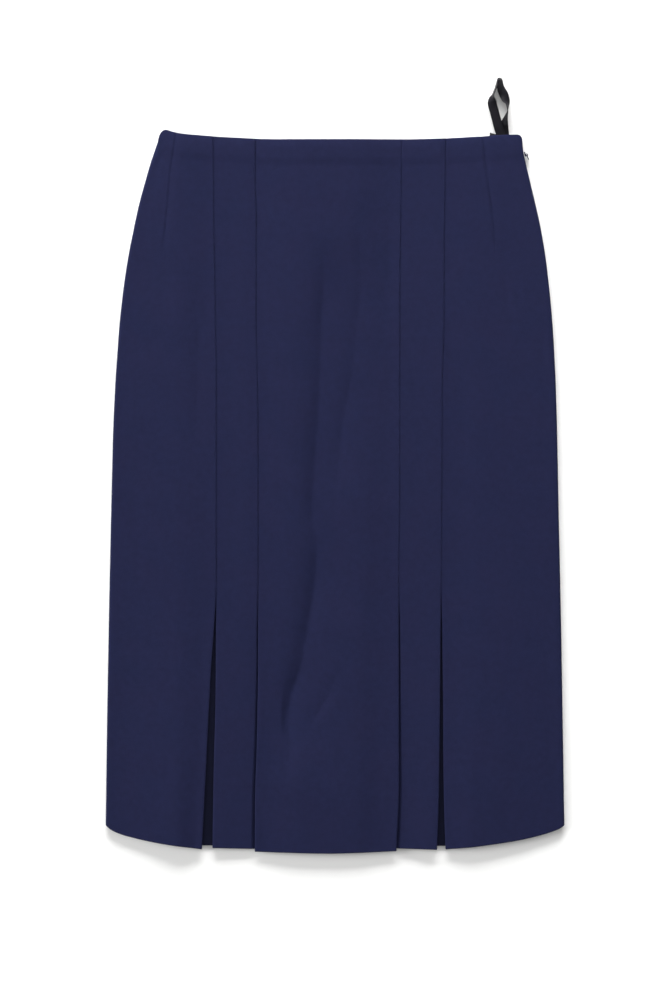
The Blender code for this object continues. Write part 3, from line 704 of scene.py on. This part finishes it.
def back_lines(sizes):
    """Middle lines of the back: flat, with low creases off the surface, rounding up at the sides."""
    raised = []
    for p in BACK_HEM:
        reach = min(p.x - BACK_HEM[0].x, BACK_HEM[-1].x - p.x)
        raised.append(Point(p.x, p.y + BACK_HEM_RISE * float(ease(reach / BACK_HEM_REACH))))
    lines = []
    for share in shares_down():
        left = -line_x(OUTLINE, "left", share, BACK_HEM)
        right = line_x(OUTLINE, "right", share, BACK_HEM)
        left_out, left_z = side_round(left, False)
        right_out, right_z = side_round(right, False)
        x = np.linspace(-left_out[-1], right_out[-1], 150)[1:-1]
        y = row_y(x, share, BACK_HEM)
        clear = ease((x + left_out[-1]) / CALM_ON_BACK) * ease((right_out[-1] - x) / CALM_ON_BACK)
        z = BACK_Z + BACK_RELIEF * sizes.crease * np.maximum(crease_height(BACK_CREASES, x, y), 0.0) * clear
        xs = np.concatenate([-left_out, x, right_out[::-1]])
        zs = np.concatenate([left_z, z, right_z[::-1]])
        peek = across(BACK_PEEK, xs)
        lines.append(section(xs, zs, share, raised, BACK_WAIST_DROP - peek))
    return np.array(lines)


def underlay_lines(word, hem_y):
    """Middle lines of the strip behind an open pleat."""
    rims = np.array(RIM_STEPS[:-1]) / UNDERLAY_LENGTH
    lines = []
    for share in np.concatenate([rims, np.linspace(0.01, 0.99, 60), 1 - rims[::-1]]):
        y = UNDERLAY_TOP_Y * (1 - share) + hem_y * share
        outer = float(along(SEAMS, "side_" + word, y))
        inner = float(along(SEAMS, "slit_" + word, y))
        middle = (outer + inner) / 2
        half = PLEAT_DEPTH + abs(outer - inner) / 2
        x = middle + half * np.linspace(-1, 1, 36)
        calm = ease((half - abs(x - middle)) / RIPPLE_CALM)
        z = UNDERLAY_Z + RIPPLE * np.sin(x / RIPPLE_ACROSS + y / RIPPLE_DOWN) * calm
        lines.append(np.column_stack([x, np.full(len(x), y), z]))
    return np.array(lines)


def node(tree, kind, settings=None, links=None):
    """Adds a shader node, sets its sockets and attributes by name, and links sockets to outputs."""
    made = tree.nodes.new("ShaderNode" + kind)
    for name, value in (settings or {}).items():
        if name in made.inputs:
            made.inputs[name].default_value = value
        else:
            setattr(made, name, value)
    for name, source in (links or {}).items():
        tree.links.new(made.inputs[name], source)
    return made


def new_material(name, settings):
    """A Principled material with these constant values, ready for its pattern."""
    material = bpy.data.materials.new(name)
    material.use_nodes = True
    tree = material.node_tree
    shader = tree.nodes["Principled BSDF"]
    for socket, value in settings.items():
        shader.inputs[socket].default_value = value
    place = node(tree, "TexCoord").outputs["Object"]
    return material, tree, shader, place


def mixed(tree, amount, first, second, blend="MIX"):
    """A colour mixed by an amount, from two colours or outputs."""
    mix = node(tree, "Mix", {"data_type": "RGBA", "blend_type": blend})
    for socket, value in ((mix.inputs[0], amount), (mix.inputs[6], first), (mix.inputs[7], second)):
        if isinstance(value, bpy.types.NodeSocket):
            tree.links.new(socket, value)
        else:
            socket.default_value = value
    return mix.outputs[2]


def add_tones(tree, shader, pattern, colour, dark, light):
    """Colours the material between a darker and a lighter tone of its colour, where the pattern says."""
    tones = mixed(tree, pattern.outputs["Fac"], tinted(colour, dark), tinted(colour, light))
    tree.links.new(shader.inputs["Base Color"], tones)


def woven_cloth(name, colour, weave, mottle):
    """Pressed wool-blend twill, yarn dyed: matt, with a fine slanting rib and a faint mottle from pressing.

    The real rib is about 0.5 mm apart, too fine for the picture, so it is drawn at the size given.
    """
    material, tree, shader, place = new_material(
        name,
        {
            "Roughness": 0.92,
            "Sheen Weight": 0.07,
            "Sheen Roughness": 0.45,
            "Sheen Tint": tinted(colour, 6),
            "IOR": 1.45,
            "Specular IOR Level": 0.13,
        },
    )
    turned = node(tree, "Mapping", {"Rotation": (0.0, 0.0, math.radians(38))}, {"Vector": place})
    bands = {"wave_type": "BANDS", "bands_direction": "X", "Scale": BAND / weave}
    bands.update({"Distortion": 0.6, "Detail": 1.0})
    rib = node(tree, "TexWave", bands, {"Vector": turned.outputs["Vector"]})
    yarn = node(tree, "TexNoise", {"Scale": 0.7 / weave, "Detail": 3.0, "Roughness": 0.6}, {"Vector": place})
    cloud = node(tree, "TexNoise", {"Scale": 1 / mottle, "Detail": 4.0, "Roughness": 0.55}, {"Vector": place})
    patch = node(tree, "TexNoise", {"Scale": 0.2 / mottle, "Detail": 2.0}, {"Vector": place})
    base = mixed(tree, cloud.outputs["Fac"], tinted(colour, 0.80), tinted(colour, 1.22))
    wide = mixed(tree, patch.outputs["Fac"], (0.88, 0.99, 1.0, 1.0), (1.12, 1.01, 1.0, 1.0))
    base = mixed(tree, 1.0, base, wide, "MULTIPLY")
    threads = mixed(tree, yarn.outputs["Fac"], (0.86, 0.86, 0.88, 1.0), (1.14, 1.14, 1.12, 1.0))
    base = mixed(tree, 1.0, base, threads, "MULTIPLY")
    tree.links.new(shader.inputs["Base Color"], base)
    normal = {}
    for source, strength, distance in ((rib, 0.35, 0.00008), (yarn, 0.35, 0.0001), (cloud, 0.4, 0.0002)):
        links = {"Height": source.outputs["Fac"], **normal}
        bump = node(tree, "Bump", {"Strength": strength, "Distance": distance}, links)
        normal = {"Normal": bump.outputs["Normal"]}
    tree.links.new(shader.inputs["Normal"], normal["Normal"])
    return material


def ribbed_ribbon(name, colour):
    """Woven polyester grosgrain ribbon: dark, slightly glossy, with ribs about 0.95 mm apart across it."""
    material, tree, shader, place = new_material(
        name, {"Roughness": 0.55, "IOR": 1.5, "Specular IOR Level": 0.11, "Sheen Weight": 0.01}
    )
    bands = {"wave_type": "BANDS", "bands_direction": "Y", "Scale": 330.0, "Distortion": 1.0, "Detail": 1.0}
    rib = node(tree, "TexWave", bands, {"Vector": place})
    speck = node(tree, "TexNoise", {"Scale": 700.0, "Detail": 3.0}, {"Vector": place})
    add_tones(tree, shader, speck, colour, 0.55, 1.5)
    height = {"Height": rib.outputs["Fac"]}
    bump = node(tree, "Bump", {"Strength": 0.5, "Distance": 0.00015}, height)
    tree.links.new(shader.inputs["Normal"], bump.outputs["Normal"])
    return material


def knitted_tape(name, colour):
    """Warp-knitted polyester zip tape: matt, with narrow lengthwise ribs about 0.8 mm apart."""
    material, tree, shader, place = new_material(name, {"Roughness": 0.8, "IOR": 1.5, "Sheen Weight": 0.1})
    bands = {"wave_type": "BANDS", "bands_direction": "X", "Scale": 390.0, "Distortion": 0.4}
    rib = node(tree, "TexWave", bands, {"Vector": place})
    add_tones(tree, shader, rib, colour, 0.8, 1.15)
    bump = node(tree, "Bump", {"Strength": 0.5, "Distance": 0.0001}, {"Height": rib.outputs["Fac"]})
    tree.links.new(shader.inputs["Normal"], bump.outputs["Normal"])
    return material


def cast_metal(name, colour):
    """Die-cast zinc, plated and lacquered dark navy: satin, faintly uneven from casting, rubbed in spots."""
    material, tree, shader, place = new_material(name, {"Metallic": 1.0, "Roughness": 0.34})
    wear = node(tree, "TexNoise", {"Scale": 900.0, "Detail": 3.0}, {"Vector": place})
    add_tones(tree, shader, wear, colour, 0.7, 1.2)
    rough = node(tree, "MapRange", {"To Min": 0.25, "To Max": 0.5}, {"Value": wear.outputs["Fac"]})
    tree.links.new(shader.inputs["Roughness"], rough.outputs["Result"])
    height = {"Height": wear.outputs["Fac"]}
    bump = node(tree, "Bump", {"Strength": 0.3, "Distance": 0.00005}, height)
    tree.links.new(shader.inputs["Normal"], bump.outputs["Normal"])
    return material


def spun_thread(name, colour):
    """Spun polyester sewing thread, two plies twisted: matt with a slight glint."""
    material, tree, shader, place = new_material(name, {"Roughness": 0.6, "IOR": 1.5, "Sheen Weight": 0.1})
    ply = node(tree, "TexNoise", {"Scale": 2500.0, "Detail": 1.0}, {"Vector": place})
    add_tones(tree, shader, ply, colour, 0.7, 1.4)
    return material


def moulded_coil(name, colour):
    """Nylon zip coil, drawn and heat set: smooth and slightly glossy."""
    material, tree, shader, place = new_material(name, {"Roughness": 0.35, "IOR": 1.53})
    tone = node(tree, "TexNoise", {"Scale": 400.0}, {"Vector": place})
    add_tones(tree, shader, tone, colour, 0.85, 1.15)
    return material


def cloth_material(context, shaded=False):
    """The skirt's cloth, made once; the shaded one has a pleat's shade painted into its colour."""
    name = "pressed_wool_twill_inside" if shaded else "pressed_wool_twill"
    colours = context.scene.skirt_colours
    sizes = context.scene.skirt_sizes
    if name in bpy.data.materials:
        return bpy.data.materials[name]
    colour = tuple(colours.cloth_inside if shaded else colours.cloth)
    return woven_cloth(name, colour, sizes.weave, sizes.mottle)


def add_panel(context, name, solid, lines, deep=False):
    """Adds a panel with its finish, and hides the solid it stands for."""
    cloth = context.scene.skirt_sizes.cloth / MM
    # Deep panels, the strips in the pleats, get an even thickness and the cloth with painted pleat shade
    half = np.full(len(lines), cloth / 2) if deep else rim_half(shares_down(), cloth)
    piece = cloth_wall(name, lines, half, cloth_material(context, deep))
    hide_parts(solid)


def length_setting(name, description, default, **limits):
    """A length in metres that the user can change."""
    return bpy.props.FloatProperty(
        name=name, description=description, default=default, unit="LENGTH", precision=5, **limits
    )


def colour_setting(name, description, hex_colour):
    """A colour that the user can change, from its sRGB hex value."""
    return bpy.props.FloatVectorProperty(
        name=name, description=description, default=linear(hex_colour), subtype="COLOR", min=0.0, max=1.0
    )


class SkirtSizes(bpy.types.PropertyGroup):
    """Sizes of the cloth and its details."""

    cloth: length_setting("Cloth thickness", "Thickness of one layer", 0.001, min=0.0005, max=0.0012)
    open_lift: length_setting("Pleat lift", "How far the open pleats' folds stand up at the hem", 0.0010)
    crease: bpy.props.FloatProperty(
        name="Creases", description="Strength of the creases", default=1.0, min=0.0, max=2.0, subtype="FACTOR"
    )
    facing_depth: length_setting("Facing depth", "How far below the waist the facing's edge shows", 0.0215)
    weave: length_setting("Weave", "Distance between the slanting ribs as drawn", 0.0009)
    mottle: length_setting("Mottle", "Size of the faint cloudy patches", 0.006)
    loop_width: length_setting("Ribbon width", "Width of the hanger loop's ribbon", 0.009)
    stitch: length_setting("Stitch length", "Length of one stitch in the seams", 0.0025)


class SkirtColours(bpy.types.PropertyGroup):
    """Colours of the skirt and the studio."""

    cloth: colour_setting("Cloth", "Navy of the cloth", "#181B37")
    # Darker navy for the strips deep in the open pleats: the pleats' shade painted into the cloth's colour,
    # not a different cloth
    cloth_inside: colour_setting("Cloth inside", "Navy deep in the pleats", "#0E1023")
    ribbon: colour_setting("Ribbon", "Black of the hanger loop", "#0E0D13")
    tape: colour_setting("Zip tape", "Navy of the zip tape", "#181B30")
    thread: colour_setting("Thread", "Navy of the sewing thread", "#1A1E3C")
    metal: colour_setting("Zip metal", "Dark navy lacquer of the slider and tab", "#22263A")
    floor: colour_setting("Floor", "Pale floor", "#F4F4F3")


class SKIRT_OT_back(bpy.types.Operator):
    """Add the back panel"""

    bl_idname = "skirt.add_back"
    bl_label = "Back panel"

    def execute(self, context):
        lines = back_lines(context.scene.skirt_sizes)
        add_panel(context, "skirt_back", "back_panel", lines)
        return {"FINISHED"}


class SKIRT_OT_underlays(bpy.types.Operator):
    """Add the strips behind the two open pleats"""

    bl_idname = "skirt.add_underlays"
    bl_label = "Pleat underlays"

    def execute(self, context):
        for word, hem_y in (("left", UNDERLAY_HEM_LEFT_Y), ("right", UNDERLAY_HEM_RIGHT_Y)):
            name, solid = "pleat_backing_" + word, "pleat_underlay_" + word
            lines = underlay_lines(word, hem_y)
            # The strips deep in the pleats take the cloth with the pleats' shade painted in
            add_panel(context, name, solid, lines, deep=True)
        return {"FINISHED"}


class SKIRT_OT_narrow_panels(bpy.types.Operator):
    """Add the two narrow front panels"""

    bl_idname = "skirt.add_narrow_panels"
    bl_label = "Narrow front panels"

    def execute(self, context):
        for word, side, hem in (("left", -1, NARROW_HEM_LEFT), ("right", 1, NARROW_HEM_RIGHT)):
            name, solid = "narrow_front_" + word, "front_narrow_panel_" + word
            lines = narrow_lines(side, hem, context.scene.skirt_sizes)
            add_panel(context, name, solid, lines)
        return {"FINISHED"}


class SKIRT_OT_centre_panel(bpy.types.Operator):
    """Add the wide centre front panel"""

    bl_idname = "skirt.add_centre_panel"
    bl_label = "Centre front panel"

    def execute(self, context):
        lines = centre_lines(CENTRE_HEM, context.scene.skirt_sizes)
        add_panel(context, "centre_front", "front_centre_panel", lines)
        return {"FINISHED"}


class SKIRT_OT_side_fronts(bpy.types.Operator):
    """Add the two outer front panels with their darts"""

    bl_idname = "skirt.add_side_fronts"
    bl_label = "Side front panels"

    def execute(self, context):
        for word, side, hem in (("left", -1, SIDE_HEM_LEFT), ("right", 1, SIDE_HEM_RIGHT)):
            name, solid = "side_front_" + word, "side_front_panel_" + word
            lines = side_front_lines(side, hem, context.scene.skirt_sizes)
            add_panel(context, name, solid, lines)
        return {"FINISHED"}


class SKIRT_OT_hanger_loop(bpy.types.Operator):
    """Add the twisted ribbon loop at the waist"""

    bl_idname = "skirt.add_hanger_loop"
    bl_label = "Hanger loop"

    def execute(self, context):
        width = context.scene.skirt_sizes.loop_width / MM
        keys = np.array(LOOP, float)
        travel = np.concatenate([[0.0], np.cumsum(np.linalg.norm(np.diff(keys[:, :3], axis=0), axis=1))])
        at = np.linspace(0.0, travel[-1], LOOP_STEPS)
        path = np.column_stack([smooth(at, travel, keys[:, k]) for k in range(3)])
        turns = np.radians(smooth(at, travel, keys[:, 3]))
        tangents = np.gradient(path, axis=0)
        half = LOOP_THICK / 2
        thin = half * LOOP_RIM_SHARE
        rim = width / 2
        body = rim - LOOP_BODY
        upper = [(w, half) for w in (-body, -rim / 2, 0.0, rim / 2, body)]
        upper = [(-rim + LOOP_RIM, thin), *upper, (rim - LOOP_RIM, thin)]
        ring = upper + [(w, -t) for w, t in upper[::-1]]
        points = []
        for place, tangent, turn in zip(path, tangents, turns):
            forward = Vector(tangent).normalized()
            level = forward.cross(Vector((0.0, 0.0, 1.0))).normalized()
            upright = level.cross(forward)
            wide = level * math.cos(turn) + upright * math.sin(turn)
            thick = wide.cross(forward)
            for w, t in ring:
                points.append(tuple(Vector(place) + wide * w + thick * t))
        material = ribbed_ribbon("woven_grosgrain_ribbon", tuple(context.scene.skirt_colours.ribbon))
        piece = mesh_object("ribbon_loop", points, tube_faces(LOOP_STEPS, len(ring)), material)
        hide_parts("hanger_loop")
        count = len(LOOP_END)
        corners = [(p.x, p.y, z) for z in (LOOP_END_LOW, LOOP_END_HIGH) for p in LOOP_END]
        sides = [[k, (k + 1) % count, (k + 1) % count + count, k + count] for k in range(count)]
        faces = sides + [list(range(count)), list(range(count, 2 * count))]
        end = mesh_object("ribbon_end", corners, faces, material)
        return {"FINISHED"}


class SKIRT_OT_zip(bpy.types.Operator):
    """Add the side zip's tape and coil, and finish its slider and tab"""

    bl_idname = "skirt.add_zip"
    bl_label = "Side zip"

    def execute(self, context):
        colours = context.scene.skirt_colours
        lines = []
        for y in np.linspace(ZIP_TOP_Y, ZIP_END_Y, TAPE_ROWS):
            outer = float(along(OUTLINE, "right", y)) - TAPE_INSET
            x = outer - TAPE_WIDTH * np.linspace(1, 0, TAPE_COLUMNS)
            lines.append(np.column_stack([x, np.full(len(x), y), np.full(len(x), TAPE_Z)]))
        half = np.full(TAPE_ROWS, TAPE_HALF_THICK)
        knit = knitted_tape("knitted_zip_tape", tuple(colours.tape))
        tape = cloth_wall("zip_tape_woven", np.array(lines), half, knit)
        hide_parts("zip_tape")
        points = []
        faces = []
        turns = [math.tau * k / COIL_SIDES for k in range(COIL_SIDES)]
        circle = [(COIL_RADIUS * math.cos(turn), COIL_RADIUS * math.sin(turn)) for turn in turns]
        z = SIDE_MID_Z + COIL_RISE
        for y in np.arange(ZIP_END_Y, ZIP_TOP_Y, COIL_PITCH):
            x = float(along(OUTLINE, "right", y)) - COIL_INSET
            ends = (x - COIL_HALF_WIDTH, x + COIL_HALF_WIDTH)
            add_tube(points, faces, [[(end, y + a, z + b) for a, b in circle] for end in ends])
        nylon = moulded_coil("heat_set_nylon_coil", tuple(colours.tape))
        coil = mesh_object("zip_coil", points, faces, nylon)
        metal = cast_metal("plated_zinc_casting", tuple(colours.metal))
        for name in ("zip_slider", "zip_pull"):
            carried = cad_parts[name]
            carried.data.materials.clear()
            carried.data.materials.append(metal)
        return {"FINISHED"}


class SKIRT_OT_stitches(bpy.types.Operator):
    """Add the stitches that show deep in the four front seams and the two darts"""

    bl_idname = "skirt.add_stitches"
    bl_label = "Seam stitches"

    def execute(self, context):
        pitch = context.scene.skirt_sizes.stitch / MM
        points = []
        faces = []
        turns = [math.tau * k / STITCH_SIDES for k in range(STITCH_SIDES)]
        circle = [(math.cos(turn), math.sin(turn)) for turn in turns]
        reach = pitch * STITCH_SHARE / 2
        for column, low, high in STITCH_RUNS:
            z = FRONT_Z + (DART_STITCH_DEPTH if column.startswith("dart") else STITCH_DEPTH)
            for y in np.arange(low, high, pitch):
                x = float(along(SEAMS, column, y))
                rings = []
                for step in STITCH_STEPS:
                    radius = STITCH_RADIUS * math.sqrt(max(STITCH_TIP, 1 - step * step))
                    middle = x + STITCH_SLANT * step
                    rings.append([(middle + radius * a, y + reach * step, z + radius * b) for a, b in circle])
                add_tube(points, faces, rings)
        material = spun_thread("spun_sewing_thread", tuple(context.scene.skirt_colours.thread))
        thread = mesh_object("seam_stitches", points, faces, material)
        return {"FINISHED"}


def area_light(name, energy, wide, tall, place):
    """A soft white light, so wide and tall in metres, aimed at the middle of the skirt."""
    data = bpy.data.lights.new(name, "AREA")
    data.energy = energy
    data.shape = "RECTANGLE"
    data.size = wide
    data.size_y = tall
    lamp = bpy.data.objects.new(name, data)
    bpy.context.scene.collection.objects.link(lamp)
    lamp.location = place
    lamp.rotation_euler = (-Vector(place)).to_track_quat("-Z", "Y").to_euler()


class SKIRT_OT_studio(bpy.types.Operator):
    """Add the pale floor, the soft lights and the camera"""

    bl_idname = "skirt.add_studio"
    bl_label = "Studio"

    def execute(self, context):
        scene = context.scene
        paint = {"Roughness": 0.95, "Specular IOR Level": 0.1}
        material, tree, shader, place = new_material("matt_white_paint", paint)
        tone = node(tree, "TexNoise", {"Scale": 3.0, "Detail": 1.0}, {"Vector": place})
        add_tones(tree, shader, tone, tuple(scene.skirt_colours.floor), 0.995, 1.0)
        mesh = bpy.data.meshes.new("studio_floor")
        corners = [(FLOOR_REACH * a, FLOOR_REACH * b, 0) for a, b in ((-1, -1), (1, -1), (1, 1), (-1, 1))]
        mesh.from_pydata(corners, [], [(0, 1, 2, 3)])
        mesh.materials.append(material)
        floor = bpy.data.objects.new("studio_floor", mesh)
        scene.collection.objects.link(floor)
        world = bpy.data.worlds.new("soft_studio")
        world.use_nodes = True
        glow = world.node_tree.nodes["Background"].inputs
        glow["Color"].default_value = (1.0, 1.0, 1.0, 1.0)
        glow["Strength"].default_value = WORLD_LIGHT
        scene.world = world
        for lamp in LAMPS:
            area_light(*lamp)
        camera = bpy.data.cameras.new("picture_camera")
        camera.lens = LENS
        camera.sensor_width = SENSOR
        camera.sensor_height = SENSOR
        camera.sensor_fit = "AUTO"
        height = PICTURE_HEIGHT * PIXEL * MM * LENS / SENSOR
        eye = bpy.data.objects.new("picture_camera", camera)
        scene.collection.objects.link(eye)
        eye.location = (LOOK_X * MM, LOOK_Y * MM, height + FRONT_Z * MM)
        eye.rotation_euler = (0.0, 0.0, 0.0)
        scene.camera = eye
        scene.view_settings.view_transform = "Standard"
        scene.view_settings.look = "None"
        return {"FINISHED"}


class SKIRT_PT_panel(bpy.types.Panel):
    """Sizes, colours and the steps that build the skirt"""

    bl_label = "A-line skirt"
    bl_idname = "SKIRT_PT_panel"
    bl_space_type = "VIEW_3D"
    bl_region_type = "UI"
    bl_category = "Skirt"

    def draw(self, context):
        layout = self.layout
        for name in SkirtSizes.__annotations__:
            layout.prop(context.scene.skirt_sizes, name)
        for name in SkirtColours.__annotations__:
            layout.prop(context.scene.skirt_colours, name)
        for step in STEPS:
            layout.operator(step.bl_idname)


STEPS = (
    SKIRT_OT_studio,
    SKIRT_OT_back,
    SKIRT_OT_underlays,
    SKIRT_OT_narrow_panels,
    SKIRT_OT_centre_panel,
    SKIRT_OT_side_fronts,
    SKIRT_OT_hanger_loop,
    SKIRT_OT_zip,
    SKIRT_OT_stitches,
)
CLASSES = (SkirtSizes, SkirtColours, *STEPS, SKIRT_PT_panel)


def register():
    for made in CLASSES:
        bpy.utils.register_class(made)
    bpy.types.Scene.skirt_sizes = bpy.props.PointerProperty(type=SkirtSizes)
    bpy.types.Scene.skirt_colours = bpy.props.PointerProperty(type=SkirtColours)


def unregister():
    del bpy.types.Scene.skirt_colours
    del bpy.types.Scene.skirt_sizes
    for made in reversed(CLASSES):
        bpy.utils.unregister_class(made)


def main():
    register()
    bpy.ops.skirt.add_studio()
    bpy.ops.skirt.add_back()
    bpy.ops.skirt.add_underlays()
    bpy.ops.skirt.add_narrow_panels()
    bpy.ops.skirt.add_centre_panel()
    bpy.ops.skirt.add_side_fronts()
    bpy.ops.skirt.add_hanger_loop()
    bpy.ops.skirt.add_zip()
    bpy.ops.skirt.add_stitches()
    bpy.context.view_layer.update()


if __name__ == "__main__":
    main()
